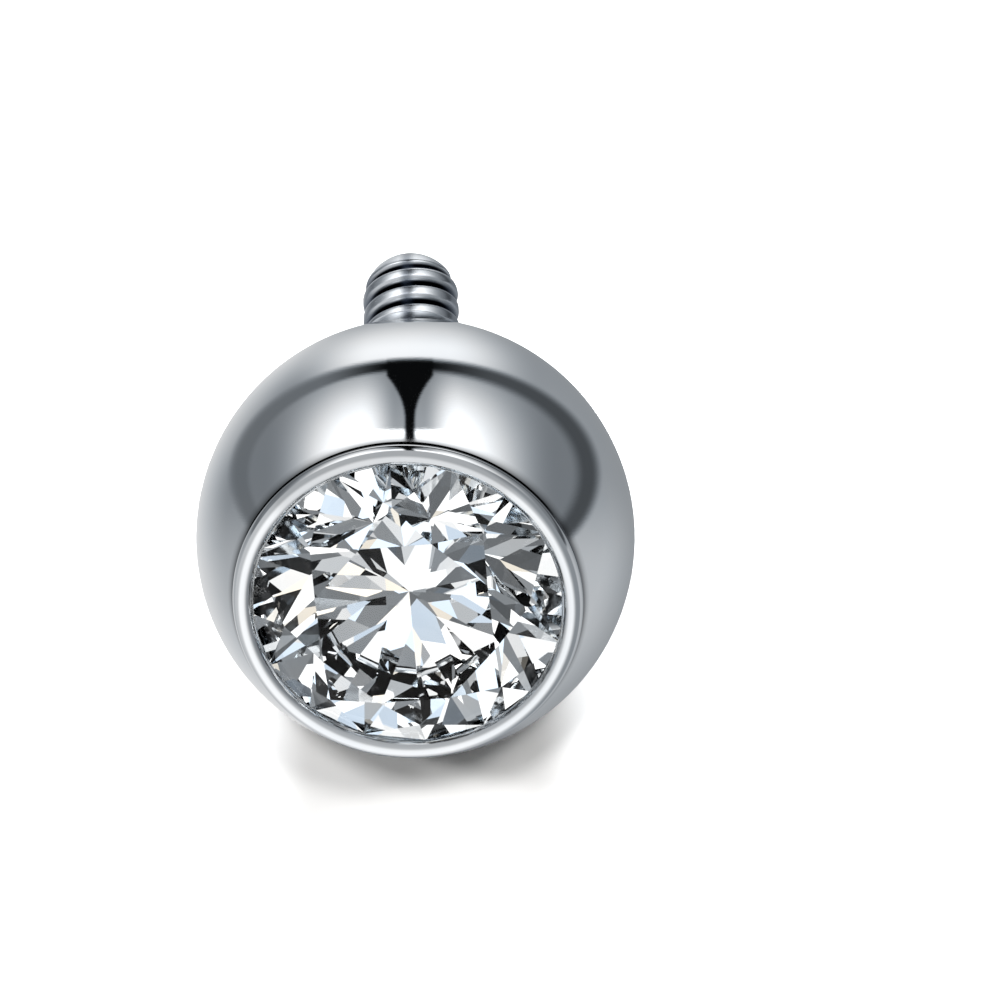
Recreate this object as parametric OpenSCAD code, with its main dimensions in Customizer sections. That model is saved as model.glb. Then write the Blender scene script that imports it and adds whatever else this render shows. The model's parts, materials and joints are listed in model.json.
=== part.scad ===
// Dermal anchor top: a polished steel ball, a round brilliant stone set in its
// rolled rim, and a threaded post that screws into the anchor under the skin.
// Millimetres. The part lies on the plane z = 0, on the ball and on the domed end
// of its post, with the stone facing up.

/* [Ball] */
// Diameter of the ball
ball_d = 5; // [4.95:0.01:5.05]
// Diameter of the round mouth that the stone shows through
mouth_d = 3.43; // [3.41:0.01:3.45]
// Thickness of the rolled rim round the mouth
rim_bead_d = 0.24; // [0.22:0.01:0.26]
// Height of the rolled rim above the ball's surface
rim_proud = 0.07; // [0.05:0.01:0.09]

/* [Stone] */
// Diameter of the stone at its girdle
stone_d = 3.52; // [3.5:0.01:3.54]
// Width of the table from corner to corner, as a share of the stone's diameter
table_share = 0.59; // [0.55:0.01:0.61]
// Angle of the crown's kite facets
crown_angle = 37; // [35:0.5:38]
// Length of the star facets, as a share of the way from the table to the girdle
star_share = 0.5; // [0.45:0.01:0.55]
// Angle of the pavilion's main facets
pavilion_angle = 40.75; // [40:0.25:42]
// Length of the lower girdle facets, as a share of the way from girdle to culet
lower_share = 0.78; // [0.72:0.01:0.82]
// Thickness of the girdle
girdle_t = 0.06; // [0.04:0.01:0.08]
// Turn of the stone in its seat
stone_turn = 22.5; // [0:0.5:45]

/* [Post] */
// Diameter over the thread's crests
thread_d = 1.12; // [1.08:0.01:1.18]
// Pitch of the right-hand thread
thread_pitch = 0.25; // [0.24:0.01:0.26]
// Depth of the thread
thread_depth = 0.11; // [0.09:0.01:0.12]
// How much thinner the plain shank is than the thread's root, on the radius
shank_relief = 0.02; // [0.02:0.005:0.05]
// Distance from the ball's centre to the foot of the shank
shank_foot = 1.15; // [1:0.05:1.4]
// Distance from the ball's centre to the start of the thread
thread_foot = 2.6; // [2.58:0.01:2.65]
// Distance from the ball's centre to the centre of the domed tip
tip_reach = 3.2; // [3.1:0.01:3.3]
// Angle between the stone's axis and the post's axis
post_angle = 146.3; // [144:0.1:150]

/* [Fits] */
// Gap between the ball and the pieces that it holds
fit_gap = 0.02; // [0.015:0.001:0.025]

/* [Hidden] */
$fn = 96;

ball_r = ball_d / 2;
bead_r = rim_bead_d / 2;
stone_r = stone_d / 2;
table_r = stone_r * table_share;
tip_r = thread_d / 2;
root_r = tip_r - thread_depth;
shank_r = root_r - shank_relief;
steel = [0.78, 0.8, 0.83];
dark_steel = [0.45, 0.48, 0.52];
clear_stone = [0.92, 0.95, 0.97];

// At rest the ball and the domed tip both touch the plane, and the part's box is
// centred on the origin.
rest_dip = asin((ball_r - tip_r) / tip_reach);
stone_lean = post_angle - rest_dip - 90;
tip_end_y = tip_reach * cos(rest_dip) + tip_r;
ball_centre = [0, (ball_r - tip_end_y) / 2, ball_r];

// The rim's round section, in the plane of radius and height along the stone's axis
bead_x = mouth_d / 2 + bead_r;
bead_y = sqrt((ball_r + rim_proud - bead_r) ^ 2 - bead_x ^ 2);

// Heights along the stone's axis from the ball's centre. The crown passes under the
// rim's inner side at a gap.
girdle_top = bead_y - (stone_r - mouth_d / 2) * tan(crown_angle);
girdle_foot = girdle_top - girdle_t;
table_y = girdle_top + (stone_r - table_r) * tan(crown_angle);
culet_y = girdle_foot - stone_r * tan(pavilion_angle);

// A brilliant has eight of each main facet, and sixteen sides round its girdle.
mains = 8;
sector = 360 / mains;

// Where the star, kite and upper girdle facets meet
shoulder_start = table_r * cos(sector / 2);
shoulder_r = shoulder_start + star_share * (stone_r - shoulder_start);
shoulder_y = table_y - (shoulder_r * cos(sector / 2) - table_r) * tan(crown_angle);

// Where the lower girdle and main pavilion facets meet
lower_r = stone_r * (1 - lower_share);
lower_y = culet_y + lower_r * cos(sector / 2) * tan(pavilion_angle);

// The stone's seat is this much larger than the stone. A drilled pocket at its foot
// clears the stone's point.
seat_r = stone_r + fit_gap;
seat_rise = fit_gap / cos(crown_angle);
seat_drop = fit_gap / cos(pavilion_angle);
pocket_r = 0.3;
point_clearance = 0.08;
pocket_foot = culet_y - point_clearance;

// The thread's grid: sides round the post, rows in each turn of the thread, and rows
// over the dome
post_sides = 32;
rows_per_turn = 12;
dome_rows = 24;
// The shank ends this far inside the threaded length.
shank_overlap = 0.1;
// A groove crosses the post's upper side this far above the dome's centre, and the
// thread fades out between these two heights above it.
groove_rise = 0.16;
fade_start = 0.2;
fade_end = 0.4;

// Moves children from the stone's own frame, or the post's, to where they lie
module along_stone() {
    translate(ball_centre) rotate([stone_lean, 0, 0]) children();
}

module along_post() {
    translate(ball_centre) rotate([-90 - rest_dip, 0, 0]) children();
}

// Section of the ball's metal before the seat is cut
module ball_section() {
    intersection() {
        circle(ball_r);
        translate([0, -ball_r]) square([ball_r, ball_r + bead_y]);
    }
    translate([bead_x, bead_y]) circle(bead_r);
}

// Section of the seat, which follows the stone and leaves the mouth open
module seat_section() {
    cone_top = girdle_top + seat_rise + seat_r * tan(crown_angle);
    cone_foot = girdle_foot - seat_drop - (seat_r - pocket_r) * tan(pavilion_angle);
    polygon([
        [0, cone_top],
        [0, pocket_foot],
        [pocket_r, pocket_foot],
        [pocket_r, cone_foot],
        [seat_r, girdle_foot - seat_drop],
        [seat_r, girdle_top + seat_rise]
    ]);
}

module ball() {
    color(steel) difference() {
        along_stone() rotate_extrude() difference() {
            ball_section();
            seat_section();
        }
        along_post() translate([0, 0, shank_foot - fit_gap])
            cylinder(h = ball_r, r = shank_r + fit_gap);
    }
}

// A ring of points round the stone's axis
function ring(r, y, count, turn) =
    [for (i = [0 : count - 1]) [r * cos(turn + 360 * i / count), r * sin(turn + 360 * i / count), y]];

// A round brilliant, from the table down to the culet
module stone() {
    points = concat(
        ring(table_r, table_y, mains, 0),
        ring(shoulder_r, shoulder_y, mains, sector / 2),
        ring(stone_r, girdle_top, 2 * mains, 0),
        ring(stone_r, girdle_foot, 2 * mains, 0),
        ring(lower_r, lower_y, mains, sector / 2),
        [[0, 0, culet_y]]
    );
    table = 0;
    shoulder = mains;
    upper = 2 * mains;
    lower = 4 * mains;
    arrow = 6 * mains;
    culet = 7 * mains;
    faces = concat(
        [[for (i = [mains - 1 : -1 : 0]) table + i]],
        [for (i = [0 : mains - 1]) [table + i, table + (i + 1) % mains, shoulder + i]],
        [for (i = [0 : mains - 1])
            [table + i, shoulder + i, upper + 2 * i, shoulder + (i + mains - 1) % mains]],
        [for (i = [0 : mains - 1]) [shoulder + i, upper + 2 * i + 1, upper + 2 * i]],
        [for (i = [0 : mains - 1])
            [shoulder + i, upper + (2 * i + 2) % (2 * mains), upper + 2 * i + 1]],
        [for (i = [0 : 2 * mains - 1])
            [upper + i, upper + (i + 1) % (2 * mains), lower + (i + 1) % (2 * mains), lower + i]],
        [for (i = [0 : mains - 1]) [arrow + i, lower + 2 * i, lower + 2 * i + 1]],
        [for (i = [0 : mains - 1])
            [arrow + i, lower + 2 * i + 1, lower + (2 * i + 2) % (2 * mains)]],
        [for (i = [0 : mains - 1])
            [culet, arrow + (i + mains - 1) % mains, lower + 2 * i, arrow + i]]
    );
    color(clear_stone) along_stone() rotate([0, 0, stone_turn]) polyhedron(points, faces);
}

// Radius over the crests at a height along the post, rounded off over the dome and
// chamfered at the thread's foot
function crest_r(h) =
    h > tip_reach ? sqrt(max(0, tip_r ^ 2 - (h - tip_reach) ^ 2)) : min(tip_r, root_r + h - thread_foot);

// Depth of the thread at a height along the post
function groove_depth(h) =
    thread_depth * min(1, max(0, (tip_reach + fade_end - h) / (fade_end - fade_start)));

// Radius at a height and an angle: broad rounded crests and narrow grooves on a
// right-hand helix, counted from the post's upper side
function thread_r(h, angle) =
    let (turns = (h - tip_reach - groove_rise) / thread_pitch - (angle + 90) / 360)
    max(min(crest_r(h), root_r), crest_r(h) - groove_depth(h) * (1 - abs(sin(180 * turns))) ^ 2);

module threaded_post() {
    straight_rows = round((tip_reach - thread_foot) / thread_pitch * rows_per_turn);
    heights = concat(
        [for (i = [0 : straight_rows - 1])
            thread_foot + (tip_reach - thread_foot) * i / straight_rows],
        [for (i = [0 : dome_rows - 1]) tip_reach + tip_r * sin(90 * i / dome_rows)]
    );
    rows = len(heights);
    points = concat(
        [for (h = heights) for (j = [0 : post_sides - 1])
            let (angle = 360 * j / post_sides, r = thread_r(h, angle))
            [r * cos(angle), r * sin(angle), h]],
        [[0, 0, tip_reach + tip_r]]
    );
    apex = rows * post_sides;
    faces = concat(
        [[for (j = [0 : post_sides - 1]) j]],
        [for (i = [0 : rows - 2]) for (j = [0 : post_sides - 1])
            let (a = i * post_sides + j, b = i * post_sides + (j + 1) % post_sides)
            each [[a, a + post_sides, b + post_sides], [a, b + post_sides, b]]],
        [for (j = [0 : post_sides - 1])
            [(rows - 1) * post_sides + j, apex, (rows - 1) * post_sides + (j + 1) % post_sides]]
    );
    color(dark_steel) along_post() {
        translate([0, 0, shank_foot])
            cylinder(h = thread_foot + shank_overlap - shank_foot, r = shank_r);
        polyhedron(points, faces);
    }
}

ball();
threaded_post();
stone();
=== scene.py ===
"""Looks of the dermal anchor top: a fine mesh of the polished ball with its rolled rim,
a fine mesh of the threaded post, materials, floor, light and camera."""
import json
import math

import bpy
import numpy as np
from mathutils import Matrix, Vector


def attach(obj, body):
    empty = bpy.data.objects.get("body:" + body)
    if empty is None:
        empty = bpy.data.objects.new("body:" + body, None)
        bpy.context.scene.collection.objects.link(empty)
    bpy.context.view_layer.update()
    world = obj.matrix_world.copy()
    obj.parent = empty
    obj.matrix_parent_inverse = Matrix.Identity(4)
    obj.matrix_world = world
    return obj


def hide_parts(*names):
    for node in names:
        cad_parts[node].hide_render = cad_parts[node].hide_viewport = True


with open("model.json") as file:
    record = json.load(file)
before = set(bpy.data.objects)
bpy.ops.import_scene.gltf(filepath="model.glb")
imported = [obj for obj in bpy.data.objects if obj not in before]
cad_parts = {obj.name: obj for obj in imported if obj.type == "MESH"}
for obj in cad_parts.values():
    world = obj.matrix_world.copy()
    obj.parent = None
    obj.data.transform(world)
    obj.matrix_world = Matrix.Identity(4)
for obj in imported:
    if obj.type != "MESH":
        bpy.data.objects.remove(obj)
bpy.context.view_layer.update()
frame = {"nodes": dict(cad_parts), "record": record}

MM = 0.001

# Sizes of the part, the same as in its source
BALL_R = 2.5 * MM
MOUTH_R = 1.715 * MM
BEAD_R = 0.12 * MM
RIM_PROUD = 0.07 * MM
STONE_R = 1.76 * MM
GIRDLE_T = 0.06 * MM
CROWN_ANGLE = math.radians(37)
PAVILION_ANGLE = math.radians(40.75)
POCKET_R = 0.3 * MM
POINT_CLEARANCE = 0.08 * MM
FIT_GAP = 0.02 * MM
POST_ANGLE = math.radians(146.3)
TIP_R = 0.56 * MM
THREAD_DEPTH = 0.11 * MM
THREAD_PITCH = 0.25 * MM
SHANK_R = 0.43 * MM
SHANK_FOOT = 1.15 * MM
THREAD_FOOT = 2.6 * MM
TIP_REACH = 3.2 * MM
GROOVE_RISE = 0.16 * MM
FADE_START = 0.2 * MM
FADE_END = 0.4 * MM

# The post's axis comes from the mount, and the stone's axis is turned from it about X.
thread_mount = frame["record"]["mounts"][0]
post_axis = Vector(thread_mount["axis"]).normalized()
stone_axis = Matrix.Rotation(POST_ANGLE, 3, "X") @ post_axis
ball_centre = Vector(thread_mount["pos_m"]) - THREAD_FOOT * post_axis
across = Vector((1, 0, 0))


def axes(along):
    """Rows that take (x, y, height) in the frame of an axis to the part's frame."""
    return np.array([across, along.cross(across), along])


post_frame = axes(post_axis)
stone_frame = axes(stone_axis)
origin = np.array(ball_centre)


def placed(points, rows):
    """Points in the frame of an axis, moved to the part's frame."""
    return origin + points @ rows


def ring(radius, height, turns, rows):
    """A circle round an axis, at the given turns in radians."""
    height = np.broadcast_to(height, turns.shape)
    flat = np.stack([radius * np.cos(turns), radius * np.sin(turns), height], axis=1)
    return placed(flat, rows)


def lean(outward, upward, turns, rows):
    """Normals of a surface round an axis, from their share outward and upward."""
    flat = np.stack([outward * np.cos(turns), outward * np.sin(turns),
                     np.full_like(turns, upward)], axis=1)
    flat /= np.linalg.norm(flat, axis=1)[:, None]
    return flat @ rows


def skin(name, strips, start, end):
    """A closed mesh over strips of rings. A strip is a list of (points, normals, mark), and the next strip
    begins on its last ring, so the edge between them stays sharp. start and end are the points that close
    the first and the last ring. The marks are kept as the attribute that the materials read, and say how
    much painted shade each ring gets."""
    count = len(strips[0][0][0])
    rings = [strips[0][0]] + [row for strip in strips for row in strip[1:]]
    vertices = np.concatenate([np.array([start])] + [points for points, _, _ in rings]
                              + [np.array([end])])
    column = np.arange(count)
    following = (column + 1) % count
    faces, normals = [], []

    def close(centre, first, tip):
        """A flat fan from a centre vertex to the ring that starts at first."""
        order = (following, column) if tip < 0 else (column, following)
        for a, b in zip(*order):
            faces.append((centre, first + a, first + b))
        sides = vertices[first + order[0]] - vertices[centre]
        normal = np.cross(sides, vertices[first + order[1]] - vertices[centre]).sum(axis=0)
        normals.append(np.tile(normal / np.linalg.norm(normal), (3 * count, 1)))

    close(0, 1, -1)
    row = 1
    for strip in strips:
        for (_, low, _), (_, high, _) in zip(strip, strip[1:]):
            a, b = row + column, row + following
            faces += list(zip(a, b, b + count, a + count))
            around = np.stack([low[column], low[following], high[following], high[column]], axis=1)
            normals.append(around.reshape(-1, 3))
            row += count
    close(row + count, row, 1)

    mesh = bpy.data.meshes.new(name)
    mesh.from_pydata(vertices.tolist(), [], [tuple(int(i) for i in face) for face in faces])
    mesh.polygons.foreach_set("use_smooth", [True] * len(mesh.polygons))
    mesh.normals_split_custom_set(np.concatenate(normals).tolist())
    marks = [[0.0]] + [np.broadcast_to(mark, count) for _, _, mark in rings] + [[0.0]]
    shade = mesh.attributes.new("groove", "FLOAT", "POINT")
    shade.data.foreach_set("value", np.concatenate(marks).astype(np.float32))
    piece = bpy.data.objects.new(name, mesh)
    bpy.context.scene.collection.objects.link(piece)
    return piece


def turned_row(radius, height, outward, upward, turns, rows, mark):
    """One ring of a strip round an axis: its points, its normals and its mark."""
    return ring(radius, height, turns, rows), lean(outward, upward, turns, rows), mark


# Section of the rim and seat, as radius and height along the stone's axis
bead_x = MOUTH_R + BEAD_R
bead_y = math.sqrt((BALL_R + RIM_PROUD - BEAD_R) ** 2 - bead_x ** 2)
girdle_top = bead_y - (STONE_R - MOUTH_R) * math.tan(CROWN_ANGLE)
girdle_foot = girdle_top - GIRDLE_T
culet_y = girdle_foot - STONE_R * math.tan(PAVILION_ANGLE)
seat_r = STONE_R + FIT_GAP
seat_top = girdle_top + FIT_GAP / math.cos(CROWN_ANGLE)
seat_foot = girdle_foot - FIT_GAP / math.cos(PAVILION_ANGLE)
cone_foot = seat_foot - (seat_r - POCKET_R) * math.tan(PAVILION_ANGLE)
pocket_foot = culet_y - POINT_CLEARANCE

# Grid of the ball's mesh: columns round it, and rows over each stretch
BALL_COLUMNS = 256
SPHERE_ROWS = 150
BEAD_ROWS = 28
BORE_EDGE_ROWS = 6
# Rounding of the bore's edge on the sphere
BORE_EDGE_R = 0.012 * MM
# The fine groove between the ball and the rolled rim, and the row close under its edge
CREASE_W = 0.014 * MM
CREASE_DEPTH = 0.035 * MM
CREASE_EDGE_SHARE = 0.06

# Marks of painted shade, from 0 to 1: in the bore, on its edge, and on the sphere's last rows beside the
# crease
BORE_MARK = 0.6
BORE_EDGE_MARK = 0.3
BESIDE_CREASE_MARKS = (0.3, 0.36, 0.42, 0.5, 0.58)
# The crease's painted shade is darkest on the post's side, between these sines of the turn.
CREASE_SIDES_MARK = 0.5
POST_SIDE = (0.45, 0.75)
# The bead's outer flank gets painted shade up to this height over the ball's surface, and higher on the
# post's side, where the rest of the bead gets a little painted shade too.
CREASE_SHADE = 0.012 * MM
FLANK_SHADE = 0.036 * MM
BEAD_MARK = 0.41
# The bead gets darker painted shade towards the stone, from this angle round its section. Its last two rows
# have the darker mark.
LIP_START = math.radians(70)
LIP_MARKS = (0.25, 0.5)


def bead_point(turn):
    """Radius and height of the point at this angle round the bead's section."""
    return bead_x + BEAD_R * math.cos(turn), bead_y + BEAD_R * math.sin(turn)


def bead_turn(reach):
    """Angle round the bead's section, on its outer side, of the point at this distance
    from the ball's centre."""
    centre_reach = math.hypot(bead_x, bead_y)
    inside = (reach ** 2 - centre_reach ** 2 - BEAD_R ** 2) / (2 * centre_reach * BEAD_R)
    return math.atan2(bead_y, bead_x) - math.acos(inside)


def bead_inner_turn():
    """Angle round the bead's section where the seat's upper cone cuts it."""
    def above(turn):
        x, y = bead_point(turn)
        return y - seat_top - (seat_r - x) * math.tan(CROWN_ANGLE)
    low, high = math.pi / 2, math.pi
    for _ in range(50):
        middle = (low + high) / 2
        low, high = (middle, high) if above(middle) > 0 else (low, middle)
    return low


mouth_half = math.asin((bead_point(bead_turn(BALL_R))[0] + CREASE_W) / BALL_R)
lip_turn = bead_inner_turn()


def bore_strips(turns):
    """The bore with its small rounded edge, and the tilt from the post's axis at which the
    edge meets the sphere."""
    bore_r = SHANK_R + FIT_GAP
    edge_x = bore_r + BORE_EDGE_R
    edge_y = math.sqrt((BALL_R - BORE_EDGE_R) ** 2 - edge_x ** 2)
    # The bore and its rounded edge get painted shade.
    bore = [turned_row(bore_r, height, -1, 0, turns, post_frame, BORE_MARK)
            for height in (SHANK_FOOT - FIT_GAP, edge_y)]
    sphere_tilt = math.atan2(edge_x, edge_y)
    rounding = []
    for angle in np.linspace(math.pi, math.pi / 2 - sphere_tilt, BORE_EDGE_ROWS):
        out, up = math.cos(angle), math.sin(angle)
        rounding.append(turned_row(edge_x + BORE_EDGE_R * out, edge_y + BORE_EDGE_R * up,
                                   out, up, turns, post_frame, BORE_EDGE_MARK))
    return [bore, rounding], sphere_tilt


def sphere_strip(turns, first):
    """The sphere from the bore's edge to the mouth, along lines that fan out from the
    post's axis."""
    along, side = math.cos(POST_ANGLE), math.sin(POST_ANGLE) * -np.sin(turns)
    last = np.mod(np.arctan2(side, along), 2 * math.pi) - np.arccos(
        math.cos(mouth_half) / np.hypot(side, along))
    # The sphere's last rows beside the crease get painted shade.
    marks = [0.0] * (SPHERE_ROWS - len(BESIDE_CREASE_MARKS)) + list(BESIDE_CREASE_MARKS)
    sphere = []
    for step, mark in zip(np.linspace(0, 1, SPHERE_ROWS), marks):
        tilt = first + (last - first) * step
        flat = np.stack([np.sin(tilt) * np.cos(turns), np.sin(tilt) * np.sin(turns),
                         np.cos(tilt)], axis=1)
        sphere.append((placed(BALL_R * flat, post_frame), flat @ post_frame, mark))
    return sphere


def crease_strip(turned, crease_turn, crease_marks):
    """The sloping outer wall of the crease, from the sphere down to its foot."""
    top = Vector((BALL_R * math.sin(mouth_half), BALL_R * math.cos(mouth_half)))
    foot = Vector(bead_point(crease_turn))
    wall = top - foot
    out, up = Vector((-wall.y, wall.x)).normalized()
    return [turned_row(point.x, point.y, out, up, turned, stone_frame, crease_marks)
            for point in (top, top.lerp(foot, CREASE_EDGE_SHARE), foot)]


def bead_strip(turned, crease_turn, crease_marks, post_side):
    """The rolled rim's round bead, from the crease's foot over to the seat."""
    # Marks of painted shade: on the outer flank by the crease, towards the stone, and a little over the
    # whole bead on the post's side.
    dark_from = CREASE_SHADE * (post_side - 1)
    dark_to = CREASE_SHADE + FLANK_SHADE * post_side
    bead = []
    sweep = np.linspace(crease_turn, lip_turn, BEAD_ROWS)
    for turn in sweep:
        x, y = bead_point(turn)
        if turn < LIP_START:
            over_ball = math.hypot(x, y) - BALL_R
            mark = np.clip((dark_to - over_ball) / (dark_to - dark_from), 0, 1) * crease_marks
        elif turn < sweep[-2]:
            mark = np.interp(turn, (LIP_START, lip_turn), LIP_MARKS)
        else:
            mark = LIP_MARKS[1]
        bead.append(turned_row(x, y, math.cos(turn), math.sin(turn), turned, stone_frame,
                               np.maximum(mark, BEAD_MARK * post_side)))
    return bead


def seat_strips(turned):
    """The seat under the stone and the pocket at its foot, one strip for each flat side."""
    corners = [bead_point(lip_turn), (seat_r, seat_top), (seat_r, seat_foot),
               (POCKET_R, cone_foot), (POCKET_R, pocket_foot)]
    return [[turned_row(x, y, y1 - y0, x0 - x1, turned, stone_frame, 0.0)
             for x, y in ((x0, y0), (x1, y1))]
            for (x0, y0), (x1, y1) in zip(corners, corners[1:])]


def ball_skin():
    """The ball, from the bore over the sphere, crease and rim down into the seat."""
    turns = -np.linspace(0, 2 * math.pi, BALL_COLUMNS, endpoint=False)
    strips, sphere_start = bore_strips(turns)
    strips.append(sphere_strip(turns, sphere_start))

    # From here on the rings lie round the stone's axis, on the same columns.
    mouth = (strips[-1][-1][0] - origin) @ stone_frame.T
    turned = np.arctan2(mouth[:, 1], mouth[:, 0])
    # The crease's painted shade is darkest on the post's side.
    post_side = np.clip((np.sin(turned) - POST_SIDE[0]) / (POST_SIDE[1] - POST_SIDE[0]), 0, 1)
    crease_marks = CREASE_SIDES_MARK + (1 - CREASE_SIDES_MARK) * post_side
    crease_turn = bead_turn(BALL_R - CREASE_DEPTH)
    strips.append(crease_strip(turned, crease_turn, crease_marks))
    strips.append(bead_strip(turned, crease_turn, crease_marks, post_side))
    strips += seat_strips(turned)
    start = placed(np.array([[0, 0, SHANK_FOOT - FIT_GAP]]), post_frame)[0]
    end = placed(np.array([[0, 0, pocket_foot]]), stone_frame)[0]
    return skin("polished_ball", strips, start, end)


# Grid of the post's mesh, and the painted-shade mark of its hidden shank
POST_COLUMNS = 192
STRAIGHT_ROWS = 90
DOME_ROWS = 80
SHANK_MARK = 0.5


def crest(height):
    """Radius over the crests at a height along the post."""
    if height > TIP_REACH:
        return math.sqrt(max(0, TIP_R ** 2 - (height - TIP_REACH) ** 2))
    return min(TIP_R, TIP_R - THREAD_DEPTH + height - THREAD_FOOT)


def thread_radius(height, turns):
    """Radius at a height and at the given turns: broad crests and narrow grooves on a
    right-hand helix, which fade out over the dome."""
    fade = min(1, max(0, (TIP_REACH + FADE_END - height) / (FADE_END - FADE_START)))
    count = (height - TIP_REACH - GROOVE_RISE) / THREAD_PITCH - (turns + math.pi / 2) / (2 * math.pi)
    cut = THREAD_DEPTH * fade * (1 - np.abs(np.sin(math.pi * count))) ** 2
    return np.maximum(min(crest(height), TIP_R - THREAD_DEPTH), crest(height) - cut)


def post_skin():
    """The shank and the thread, with rounded crests and narrow grooves."""
    turns = np.linspace(0, 2 * math.pi, POST_COLUMNS, endpoint=False)
    straight = np.linspace(THREAD_FOOT, TIP_REACH, STRAIGHT_ROWS)
    dome = TIP_REACH + TIP_R * np.sin(np.linspace(0, math.pi / 2, DOME_ROWS))[1:-1]
    heights = np.concatenate([straight, dome])
    radii = [thread_radius(height, turns) for height in heights]
    grid = np.array([np.stack([r * np.cos(turns), r * np.sin(turns), np.full_like(turns, height)],
                              axis=1) for r, height in zip(radii, heights)])
    round_way = np.roll(grid, -1, axis=1) - np.roll(grid, 1, axis=1)
    along_way = np.gradient(grid, axis=0)
    normals = np.cross(round_way, along_way)
    normals /= np.linalg.norm(normals, axis=2)[:, :, None]
    # Each point's mark is its depth under the crest, for painted shade in the grooves.
    thread = [(placed(points, post_frame), normal @ post_frame, (crest(height) - r) / THREAD_DEPTH)
              for points, normal, r, height in zip(grid, normals, radii, heights)]
    shank = [turned_row(SHANK_R, height, 1, 0, turns, post_frame, SHANK_MARK)
             for height in (SHANK_FOOT, THREAD_FOOT)]
    shoulder = [turned_row(radius, THREAD_FOOT, 0, -1, turns, post_frame, SHANK_MARK)
                for radius in (SHANK_R, TIP_R - THREAD_DEPTH)]
    start = placed(np.array([[0, 0, SHANK_FOOT]]), post_frame)[0]
    end = placed(np.array([[0, 0, TIP_REACH + TIP_R]]), post_frame)[0]
    return skin("fine_post", [shank, shoulder, thread], start, end)


class Graph:
    """Short calls for building a node tree."""

    def __init__(self, tree):
        self.tree = tree
        tree.nodes.clear()

    def node(self, kind, **settings):
        made = self.tree.nodes.new(kind)
        for key, value in settings.items():
            setattr(made, key, value)
        return made

    def feed(self, socket, value):
        if isinstance(value, bpy.types.NodeSocket):
            self.tree.links.new(value, socket)
        else:
            socket.default_value = value

    def texture(self, kind, place, scale, **settings):
        made = self.node(kind, **settings)
        self.feed(made.inputs["Vector"], place)
        self.feed(made.inputs["Scale"], scale)
        return made

    def noise(self, place, scale, detail):
        made = self.texture("ShaderNodeTexNoise", place, scale)
        self.feed(made.inputs["Detail"], detail)
        return made.outputs[0]

    def place(self):
        """Place on a piece, in the piece's own coordinates."""
        return self.node("ShaderNodeTexCoord").outputs["Object"]

    def groove(self):
        """The painted-shade mark of a fine mesh, from 0 to 1."""
        return self.node("ShaderNodeAttribute", attribute_name="groove").outputs["Fac"]

    def math(self, operation, *values):
        made = self.node("ShaderNodeMath", operation=operation)
        for socket, value in zip(made.inputs, values):
            self.feed(socket, value)
        return made.outputs[0]

    def vector(self, operation, *values):
        made = self.node("ShaderNodeVectorMath", operation=operation)
        for socket, value in zip(made.inputs, values):
            self.feed(socket, value)
        return made.outputs["Value" if operation in ("DOT_PRODUCT", "LENGTH") else "Vector"]

    def ease(self, value, low, high, at_low=0.0, at_high=1.0):
        """A smooth change from at_low to at_high as value goes from low to high."""
        if not isinstance(low, bpy.types.NodeSocket) and low > high:
            low, high, at_low, at_high = high, low, at_high, at_low
        made = self.node("ShaderNodeMapRange", interpolation_type="SMOOTHSTEP")
        for socket, number in zip(made.inputs, (value, low, high, at_low, at_high)):
            self.feed(socket, number)
        return made.outputs[0]

    def blend(self, share, first, second):
        """Number that goes from first to second as share goes from 0 to 1."""
        made = self.node("ShaderNodeMix", data_type="FLOAT")
        for socket, value in zip((made.inputs[0], made.inputs[2], made.inputs[3]), (share, first, second)):
            self.feed(socket, value)
        return made.outputs[0]

    def line(self, value, low, high):
        """A straight change from 0 to 1 as value goes from low to high."""
        made = self.node("ShaderNodeMapRange")
        for socket, number in zip(made.inputs, (value, low, high, 0.0, 1.0)):
            self.feed(socket, number)
        return made.outputs[0]

    def length(self, x, y):
        return self.math("SQRT", self.math("ADD", self.math("MULTIPLY", x, x), self.math("MULTIPLY", y, y)))

    def glow(self, colour, strength):
        made = self.node("ShaderNodeBackground")
        self.feed(made.inputs["Color"], colour)
        self.feed(made.inputs["Strength"], strength)
        return made.outputs[0]

    def mixed(self, share, first, second):
        made = self.node("ShaderNodeMixShader")
        for socket, value in zip(made.inputs, (share, first, second)):
            self.feed(socket, value)
        return made.outputs[0]

    def tint(self, share, first, second):
        """Colour that goes from first to second as share goes from 0 to 1."""
        made = self.node("ShaderNodeMix", data_type="RGBA")
        for socket, value in zip((made.inputs[0], made.inputs[6], made.inputs[7]), (share, first, second)):
            self.feed(socket, value)
        return made.outputs[2]


# The photograph's view of the ball. The set's lights are laid out in the same view, as a
# mirrored ball shows them, in ball radii from its centre.
FRAME_PX = 1000
BALL_PX = (415.6, 537.6)
BALL_R_PX = 219.35
CAMERA_REACH = 60 * MM
SENSOR = 36.0
view_back = Vector((0.09871, 0.12620, 0.98708)).normalized()
view_up = Vector((0.07647, 0.98803, -0.13397))
view_right = view_up.cross(view_back).normalized()
view_up = view_back.cross(view_right).normalized()
focal_px = BALL_R_PX * math.sqrt(CAMERA_REACH ** 2 - BALL_R ** 2) / BALL_R


def seen(x_px, y_px):
    """A pixel of the photograph, in ball radii from the ball's centre."""
    return (x_px - BALL_PX[0]) / BALL_R_PX, (BALL_PX[1] - y_px) / BALL_R_PX


def px(*lengths):
    """Lengths in pixels of the photograph, in ball radii."""
    return [length / BALL_R_PX for length in lengths]


# Places and sizes in the mirrored set. A pair gives where a soft change starts and ends, or
# the tones at its start and end. A tone of 1 is white.
BLACK = 0.004
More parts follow.
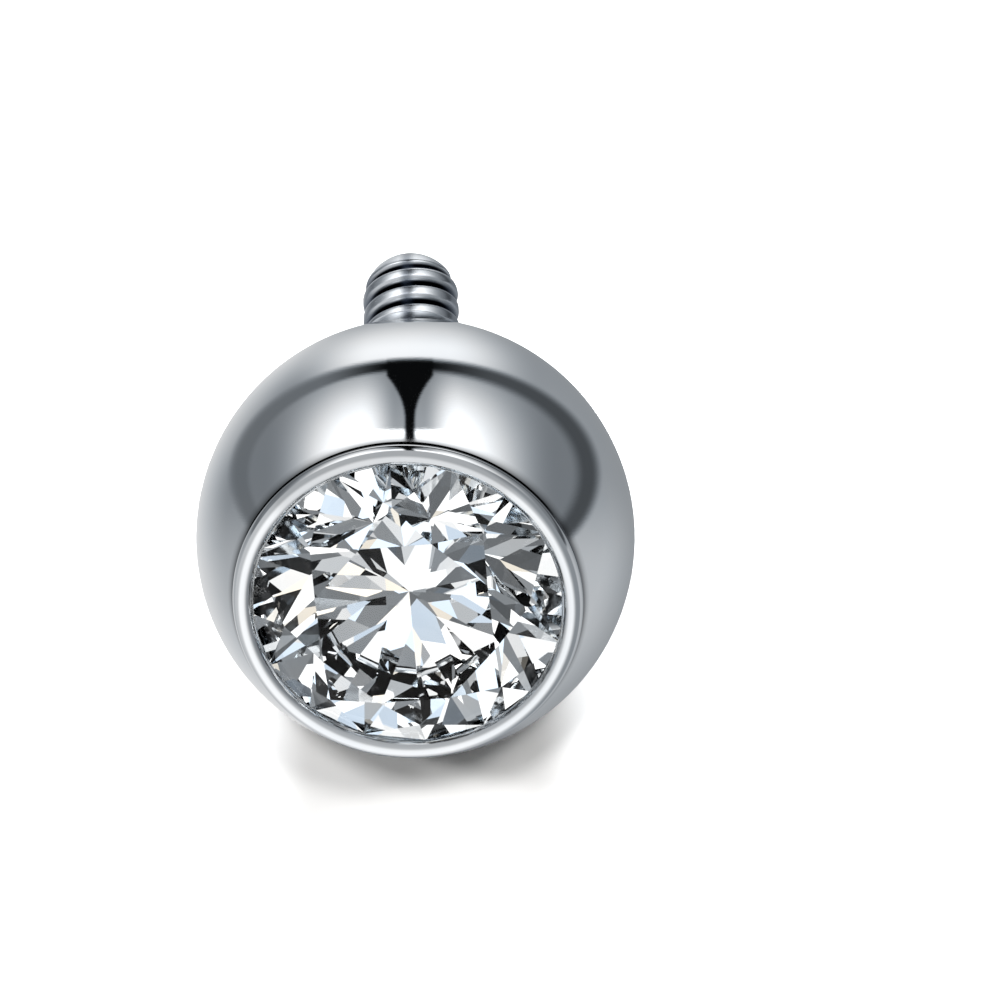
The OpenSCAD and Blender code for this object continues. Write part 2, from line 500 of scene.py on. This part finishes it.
# The dark edge of the set: an oval with its half width, and its heights above and below its
# middle. OVAL_SOFT is how sharply the set ends there, in shares of the oval.
OVAL_X, OVAL_Y = seen(415, 475)
OVAL_HALF, OVAL_ABOVE, OVAL_BELOW = px(181, 113.5, 117)
OVAL_SOFT = (0.965, 1.035)
# Where the edge starts to darken at its left and right, and its tones away from the gap
EDGE_STARTS, EDGE_FULL = (0.888, 0.85), 0.93
EDGE_STARTS_BLEND, EDGE_TONE_BLEND = (-0.4, 0.4), (-0.1, 0.1)
EDGE_RISE = (-0.13, 0.04)
EDGE_LEFT, EDGE_LEFT_TONES = px(21, 92), (BLACK, 0.18)
EDGE_RIGHT, EDGE_RIGHT_TONES = px(14, 90), (BLACK, 0.085)
# The dark gap between the soft boxes: half its width at its foot, and how much wider it
# gets towards its top
GAP_X, GAP_TOP = seen(410, 378)
GAP_FOOT = seen(410, 422)[1]
GAP_HALF, GAP_FLARE, GAP_SOFT = px(5, 18, 2)
GAP_RISE = (0.2, 0.4)
# The soft boxes, which fade towards the edge, to the left and right, and beside the gap
BOX_INNER = (1.11, 0.24)
BOX_LEFT, BOX_RIGHT = px(-146, -54), px(148, 31)
BOX_GAP, BOX_GAP_TONES = px(13, 50), (0.14, 1.0)
BOX_FOOT = (seen(0, 433)[1], seen(0, 430)[1])
BOX_TONES = (0.23, 1.88)
# The floor beyond the edge: behind the ball, at its left and right from the back to the
# front, and what each comes to at the ball's outline
FLOOR_OUTLINE = (0.845, 1.05)
BEHIND_HALF, BEHIND_RISE = px(132, 37), (0.48, 0.88)
BEHIND_TONES = (1.13, 0.29)
FLOOR_FRONT, FLOOR_SIDES_BLEND = (0.32, -0.2), (-0.3, 0.3)
LEFT_TONES, LEFT_OUTLINE_TONE = (0.26, 0.48), 0.83
RIGHT_TONES, RIGHT_OUTLINE_TONE = (0.37, 0.59), 0.32
# The middle of the set, inside the oval of the rim, with a white core and a grey foot
RIM_X, RIM_Y = seen(410, 601.5)
RIM_HALF, RIM_RISE = px(174.5, 156.5)
RIM_SOFT = (0.97, 0.85)
CORE_X, CORE_Y = -0.15, -0.5
CORE_REACH, CORE_TONE = (0.14, 0.44), 1.15
MIDDLE_BLEND, MIDDLE_TONES = (0.15, 0.4), (0.62, 0.32)
FOOT_RISE, FOOT_HALF, FOOT_TONE = (-0.82, -0.95), (0.6, 0.45), 0.25
# Dark tones of the set are a little cool.
TONE_RANGE, COOL_GREY = (0.0, 0.9), (0.86, 0.93, 1.0, 1.0)
WHITE = (1.0, 1.0, 1.0, 1.0)

# The cards that the stone mirrors. Each has two random numbers, one for its tone and one
# for its hue. Ranges of them are black, grey, white, cool and warm.
CARD_SCALE = 4.8
CARD_SEED = 40.16
BLACK_CARDS, BLACK_TONES = (0.15, 0.21), (0.04, 1.0)
GREY_TO_WHITE, CARD_TONES = (0.42, 0.62), (0.22, 1.15)
COOL_CARDS, COOL_WHITE = (0.80, 0.9), (0.74, 0.86, 1.0, 1.0)
WARM_CARDS, WARM_WHITE = (0.07, 0.03), (1.0, 0.93, 0.82, 1.0)
CARD_GREY_RANGE, CARD_GREY = (0.2, 1.0), (0.88, 0.94, 1.0, 1.0)
FOLD_SCALE, FOLD_DETAIL = 5.0, 1.0
FOLD_RANGE, FOLD_TONES = (0.32, 0.62), (0.72, 1.25)


class MirroredSet:
    """What metal mirrors: a soft white set with a dark edge that bends round it, a pale
    floor beyond the edge and two soft boxes either side of a dark gap."""

    def __init__(self, g, ray):
        half = g.vector("NORMALIZE", g.vector("ADD", ray, tuple(view_back)))
        self.g = g
        self.u = g.vector("DOT_PRODUCT", half, tuple(view_right))
        self.v = g.vector("DOT_PRODUCT", half, tuple(view_up))
        self.from_gap = g.math("SUBTRACT", self.u, GAP_X)
        self.beside = g.math("ABSOLUTE", self.from_gap)
        self.oval = self.oval_reach()
        self.past = g.ease(self.oval, *OVAL_SOFT)

    def oval_reach(self):
        """Distance from the middle of the dark edge, which is 1 on it. The edge is an oval,
        flatter above its middle than below it."""
        g = self.g
        across_oval = g.math("DIVIDE", g.math("SUBTRACT", self.u, OVAL_X), OVAL_HALF)
        rise = g.math("SUBTRACT", self.v, OVAL_Y)
        up_oval = g.math("ADD", g.math("DIVIDE", g.math("MAXIMUM", rise, 0.0), OVAL_ABOVE),
                         g.math("DIVIDE", g.math("MINIMUM", rise, 0.0), OVAL_BELOW))
        return g.length(across_oval, up_oval)

    def inside(self):
        """Inside the edge: soft boxes that fade towards it, to the sides and beside the gap."""
        g = self.g
        sideways = g.math("MULTIPLY", g.ease(self.from_gap, *BOX_LEFT), g.ease(self.from_gap, *BOX_RIGHT))
        beside_gap = g.ease(self.beside, *BOX_GAP, *BOX_GAP_TONES)
        near_gap = g.blend(g.ease(self.v, *BOX_FOOT), 1.0, beside_gap)
        boxes = g.math("MULTIPLY", g.ease(self.oval, *BOX_INNER), sideways)
        return g.blend(g.math("MULTIPLY", boxes, near_gap), *BOX_TONES)

    def beyond(self):
        """Beyond the edge: the floor, white behind the ball and grey at its sides, where it
        is lighter on the left and towards the front."""
        g = self.g
        outline = g.ease(g.length(self.u, self.v), *FLOOR_OUTLINE)
        behind = g.math("MULTIPLY", g.ease(self.beside, *BEHIND_HALF), g.ease(self.v, *BEHIND_RISE))
        left = g.blend(outline, g.ease(self.v, *FLOOR_FRONT, *LEFT_TONES), LEFT_OUTLINE_TONE)
        right = g.blend(outline, g.ease(self.v, *FLOOR_FRONT, *RIGHT_TONES), RIGHT_OUTLINE_TONE)
        sides = g.blend(g.ease(self.u, *FLOOR_SIDES_BLEND), left, right)
        return g.blend(behind, sides, g.blend(outline, *BEHIND_TONES))

    def add_edge(self, light):
        """The dark edge, blackest above the gap."""
        g = self.g
        start = g.ease(self.u, *EDGE_STARTS_BLEND, *EDGE_STARTS)
        edge = g.math("MULTIPLY", g.ease(self.oval, start, EDGE_FULL), g.math("SUBTRACT", 1.0, self.past))
        edge = g.math("MULTIPLY", edge, g.ease(self.v, *EDGE_RISE))
        tone = g.blend(g.ease(self.u, *EDGE_TONE_BLEND),
                       g.ease(self.beside, *EDGE_LEFT, *EDGE_LEFT_TONES),
                       g.ease(self.beside, *EDGE_RIGHT, *EDGE_RIGHT_TONES))
        return g.blend(edge, light, tone)

    def add_gap(self, light):
        """The dark gap between the soft boxes, which flares towards its top."""
        g = self.g
        flare = g.line(self.v, GAP_FOOT, GAP_TOP)
        half = g.math("ADD", GAP_HALF, g.math("MULTIPLY", GAP_FLARE, g.math("MULTIPLY", flare, flare)))
        gap = g.ease(g.math("SUBTRACT", self.beside, half), -GAP_SOFT, GAP_SOFT, 1.0, 0.0)
        gap = g.math("MULTIPLY", gap, g.math("SUBTRACT", g.ease(self.v, *GAP_RISE), self.past))
        return g.blend(gap, light, BLACK)

    def add_middle(self, light):
        """The middle of the set, which the rim's bead mirrors: white round the stone's axis,
        light grey above and to the left, and darker on the right and at its foot."""
        g = self.g
        from_rim = g.length(g.math("DIVIDE", g.math("SUBTRACT", self.u, RIM_X), RIM_HALF),
                            g.math("DIVIDE", g.math("SUBTRACT", self.v, RIM_Y), RIM_RISE))
        from_core = g.length(g.math("SUBTRACT", self.u, CORE_X), g.math("SUBTRACT", self.v, CORE_Y))
        core = g.ease(from_core, *CORE_REACH, 1.0, 0.0)
        middle = g.blend(core, g.ease(self.u, *MIDDLE_BLEND, *MIDDLE_TONES), CORE_TONE)
        light = g.blend(g.ease(from_rim, *RIM_SOFT), light, middle)
        foot = g.math("MULTIPLY", g.ease(self.v, *FOOT_RISE),
                      g.ease(g.math("ABSOLUTE", self.u), *FOOT_HALF))
        return g.blend(foot, light, FOOT_TONE)

    def glow(self):
        """The whole set as light."""
        g = self.g
        light = g.blend(self.past, self.inside(), self.beyond())
        light = self.add_middle(self.add_gap(self.add_edge(light)))
        return g.glow(g.tint(g.ease(light, *TONE_RANGE), COOL_GREY, WHITE), light)


def card_glow(g, ray):
    """What light that leaves the stone sees: small white, grey and black cards, some of them
    cool and a few warm, with soft folds."""
    cards = g.texture("ShaderNodeTexVoronoi", ray, CARD_SCALE, voronoi_dimensions="4D")
    g.feed(cards.inputs["W"], CARD_SEED)
    pick = g.node("ShaderNodeSeparateColor")
    g.feed(pick.inputs[0], cards.outputs["Color"])
    tone_pick, hue_pick = pick.outputs[0], pick.outputs[1]
    card = g.ease(tone_pick, *GREY_TO_WHITE, *CARD_TONES)
    card = g.math("MULTIPLY", card, g.ease(tone_pick, *BLACK_CARDS, *BLACK_TONES))
    fold = g.noise(ray, FOLD_SCALE, FOLD_DETAIL)
    card = g.math("MULTIPLY", card, g.ease(fold, *FOLD_RANGE, *FOLD_TONES))
    hue = g.tint(g.ease(card, *CARD_GREY_RANGE), CARD_GREY, WHITE)
    hue = g.tint(g.ease(hue_pick, *COOL_CARDS), hue, COOL_WHITE)
    return g.glow(g.tint(g.ease(hue_pick, *WARM_CARDS), hue, WARM_WHITE), card)


def studio():
    """The surroundings: metal sees the mirrored set, light that leaves the stone sees cards,
    and the camera sees plain white."""
    world = bpy.data.worlds.new("studio")
    bpy.context.scene.world = world
    world.use_nodes = True
    world.cycles_visibility.diffuse = False
    world.cycles_visibility.scatter = False
    g = Graph(world.node_tree)
    ray = g.node("ShaderNodeTexCoord").outputs["Generated"]
    path = g.node("ShaderNodeLightPath")
    through = g.mixed(path.outputs["Is Transmission Ray"], MirroredSet(g, ray).glow(), card_glow(g, ray))
    out = g.node("ShaderNodeOutputWorld")
    g.feed(out.inputs["Surface"], g.mixed(path.outputs["Is Camera Ray"], through, g.glow(WHITE, 1.0)))


# Noise over the pieces, in waves for each metre, and its detail
CLOUD_SCALE, CLOUD_DETAIL = 900.0, 3.0
MARK_SCALE, MARK_DETAIL = 9000.0, 4.0
MARK_STRETCH = (1.0, 14.0, 1.0)
MARK_DEPTH, MARK_STRENGTH = 0.01 * MM, 0.02
PATCH_SCALE, PATCH_DETAIL = 1500.0, 1.0
FIBRE_SCALE, FIBRE_DETAIL = 700.0, 4.0
# Parts of a noise's range that a look goes through
NOISE_MIDDLE = (0.35, 0.65)
MARK_RANGE = (0.3, 0.8)
# Roughness at the foot of a groove, and the marks between which the metal gets that rough
GROOVE_ROUGH, GROOVE_ROUGH_MARKS = 0.3, (0.3, 1.0)
STONE_IOR = 2.42
STONE_OUTER_GLOSS = (0.06, 0.06, 0.06, 1.0)


def material(name):
    """A new material with its plain shader, and the graph to build it with."""
    made = bpy.data.materials.new(name)
    made.use_nodes = True
    g = Graph(made.node_tree)
    shader = g.node("ShaderNodeBsdfPrincipled")
    out = g.node("ShaderNodeOutputMaterial")
    g.feed(out.inputs["Surface"], shader.outputs[0])
    return made, g, shader


def steel_tone(g, place, groove, light_tone, dark_tone, groove_tone, groove_range):
    """Colour of steel with faint clouding, and painted shade: it darkens to the shade tone as the
    painted-shade mark goes through its range."""
    clouds = g.noise(place, CLOUD_SCALE, CLOUD_DETAIL)
    tone = g.tint(g.ease(clouds, *NOISE_MIDDLE), dark_tone, light_tone)
    return g.tint(g.ease(groove, *groove_range), tone, groove_tone)


def polish(g, shader, place, groove, smooth, rough):
    """Fine polishing marks, between two roughnesses, and duller grooves."""
    marks = g.noise(g.vector("MULTIPLY", place, MARK_STRETCH), MARK_SCALE, MARK_DETAIL)
    fine = g.ease(marks, *MARK_RANGE, smooth, rough)
    g.feed(shader.inputs["Metallic"], 1.0)
    g.feed(shader.inputs["Roughness"], g.blend(g.ease(groove, *GROOVE_ROUGH_MARKS), fine, GROOVE_ROUGH))
    bump = g.node("ShaderNodeBump")
    for key, value in (("Strength", MARK_STRENGTH), ("Distance", MARK_DEPTH), ("Height", marks)):
        g.feed(bump.inputs[key], value)
    g.feed(shader.inputs["Normal"], bump.outputs[0])


def ball_steel():
    """Bright polished steel, with painted shade in the crease and the bore, beside the crease and on the
    rim's bead.
    """
    made, g, shader = material("ball_steel")
    place, groove = g.place(), g.groove()
    tone = steel_tone(g, place, groove, light_tone=(0.84, 0.86, 0.88, 1), dark_tone=(0.80, 0.83, 0.86, 1),
                      groove_tone=(0.012, 0.013, 0.016, 1), groove_range=(0.25, 0.75))
    g.feed(shader.inputs["Base Color"], tone)
    polish(g, shader, place, groove, smooth=0.02, rough=0.05)
    return made


# The post has painted reflection bands: it is greyer along its middle, which lies a little off its axis,
# and at its sides. The fades are distances from the middle.
POST_MIDDLE = 0.015 * MM
POST_MIDDLE_FADE = (0.01 * MM, 0.11 * MM)
POST_SIDE_FADE = (0.34 * MM, 0.52 * MM)
POST_GREY = (0.16, 0.19, 0.24, 1)
# How much of the steel's own tone is left there
POST_STEEL_SHARE = 0.3


def post_steel():
    """Steel with painted shade in its grooves, and painted reflection bands that make it greyer along the
    post's middle and its sides.
    """
    made, g, shader = material("post_steel")
    place, groove = g.place(), g.groove()
    tone = steel_tone(g, place, groove, light_tone=(0.90, 0.93, 0.97, 1), dark_tone=(0.84, 0.88, 0.92, 1),
                      groove_tone=(0.006, 0.01, 0.018, 1), groove_range=(0.04, 0.5))
    parts = g.node("ShaderNodeSeparateXYZ")
    g.feed(parts.inputs[0], place)
    aside = g.math("ABSOLUTE", g.math("SUBTRACT", parts.outputs[0], POST_MIDDLE))
    middle = g.ease(aside, *POST_MIDDLE_FADE, POST_STEEL_SHARE, 1.0)
    sides = g.ease(aside, *POST_SIDE_FADE, 1.0, POST_STEEL_SHARE)
    g.feed(shader.inputs["Base Color"], g.tint(g.math("MULTIPLY", middle, sides), POST_GREY, tone))
    polish(g, shader, place, groove, smooth=0.20, rough=0.28)
    return made


def clear_stone():
    """Clear stone that bends light strongly and mirrors little on its outside."""
    made, g, shader = material("clear_stone")
    patches = g.noise(g.place(), PATCH_SCALE, PATCH_DETAIL)
    tone = g.tint(g.ease(patches, *NOISE_MIDDLE), (0.95, 0.98, 1.0, 1.0), (1.0, 0.995, 0.98, 1.0))
    for key, value in (("Base Color", tone), ("Roughness", 0.0), ("IOR", STONE_IOR),
                       ("Specular Tint", STONE_OUTER_GLOSS), ("Transmission Weight", 1.0)):
        g.feed(shader.inputs[key], value)
    return made


FLOOR_REACH = 2.0


def floor():
    """A plain pale floor of matt paper, which the metal doesn't mirror."""
    mesh = bpy.data.meshes.new("floor")
    corners = [(-FLOOR_REACH, -FLOOR_REACH, 0), (FLOOR_REACH, -FLOOR_REACH, 0),
               (FLOOR_REACH, FLOOR_REACH, 0), (-FLOOR_REACH, FLOOR_REACH, 0)]
    mesh.from_pydata(corners, [], [(0, 1, 2, 3)])
    made = bpy.data.objects.new("floor", mesh)
    bpy.context.scene.collection.objects.link(made)
    paper, g, shader = material("paper")
    fibres = g.noise(g.place(), FIBRE_SCALE, FIBRE_DETAIL)
    tone = g.tint(fibres, (0.89, 0.89, 0.89, 1.0), (0.91, 0.91, 0.91, 1.0))
    for key, value in (("Base Color", tone), ("Roughness", 1.0), ("Specular IOR Level", 0.0)):
        g.feed(shader.inputs[key], value)
    mesh.materials.append(paper)
    made.visible_glossy = False


# Distant lights for the floor: turn from overhead sideways to the right and backwards to the
# post's end, in degrees, and strength. The key lights throw the soft shadow round the ball.
# The low back lights outshine it, apart from the stretch in front of the ball.
KEY_LIGHTS = ((-21, 18, 1.0), (0, 16, 1.4), (14, 16.5, 1.15), (32, 20, 0.5))
KEY_SPREAD, KEY_COLOUR = 5, (1.0, 0.99, 0.975)
BACK_LIGHTS = ((-1, 67, 6.4), (32, 67, 6.6))
BACK_SPREAD, BACK_COLOUR = 13, (0.96, 0.98, 1.0)
FILL_LIGHTS = ((0, 0, 0.1),)
FILL_SPREAD, FILL_COLOUR = 100, (0.75, 0.88, 1.0)


def suns(name, lights, spread, colour):
    """Soft distant lights that only the floor catches."""
    for number, (sideways, backwards, strength) in enumerate(lights):
        data = bpy.data.lights.new(f"{name}_{number}", "SUN")
        data.energy = strength
        data.color = colour
        data.angle = math.radians(spread)
        lamp = bpy.data.objects.new(data.name, data)
        toward = (math.tan(math.radians(sideways)), math.tan(math.radians(backwards)), 1)
        lamp.rotation_mode = "QUATERNION"
        lamp.rotation_quaternion = Vector(toward).to_track_quat("Z", "Y")
        lamp.visible_glossy = False
        lamp.visible_transmission = False
        bpy.context.scene.collection.objects.link(lamp)


def camera():
    """A camera at the photograph's angle, which puts the ball where the photograph has it."""
    data = bpy.data.cameras.new("camera")
    data.sensor_width = SENSOR
    data.lens = focal_px / FRAME_PX * SENSOR
    data.clip_start = 1 * MM
    data.clip_end = 10.0
    made = bpy.data.objects.new("camera", data)
    bpy.context.scene.collection.objects.link(made)
    bpy.context.scene.camera = made
    aim = Vector((BALL_PX[0] - FRAME_PX / 2, FRAME_PX / 2 - BALL_PX[1], -focal_px)).normalized()
    turn = aim.rotation_difference(Vector((0, 0, -1))).to_matrix()
    facing = Matrix((view_right, view_up, view_back)).transposed() @ turn
    made.matrix_world = Matrix.Translation(ball_centre + CAMERA_REACH * view_back) @ facing.to_4x4()


def dress(piece, made):
    """Gives a piece one material."""
    piece.data.materials.clear()
    piece.data.materials.append(made)


camera()
ball = ball_skin()
dress(ball, ball_steel())
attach(ball, "root")
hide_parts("ball")
post = post_skin()
dress(post, post_steel())
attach(post, "root")
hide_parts("threaded_post")
dress(frame["nodes"]["stone"], clear_stone())
floor()
studio()
suns("key", KEY_LIGHTS, KEY_SPREAD, KEY_COLOUR)
suns("back", BACK_LIGHTS, BACK_SPREAD, BACK_COLOUR)
suns("fill", FILL_LIGHTS, FILL_SPREAD, FILL_COLOUR)

scene = bpy.context.scene
scene.view_settings.view_transform = "Standard"
scene.cycles.max_bounces = 24
scene.cycles.glossy_bounces = 12
scene.cycles.transmission_bounces = 24
scene.cycles.caustics_reflective = False
scene.cycles.caustics_refractive = False
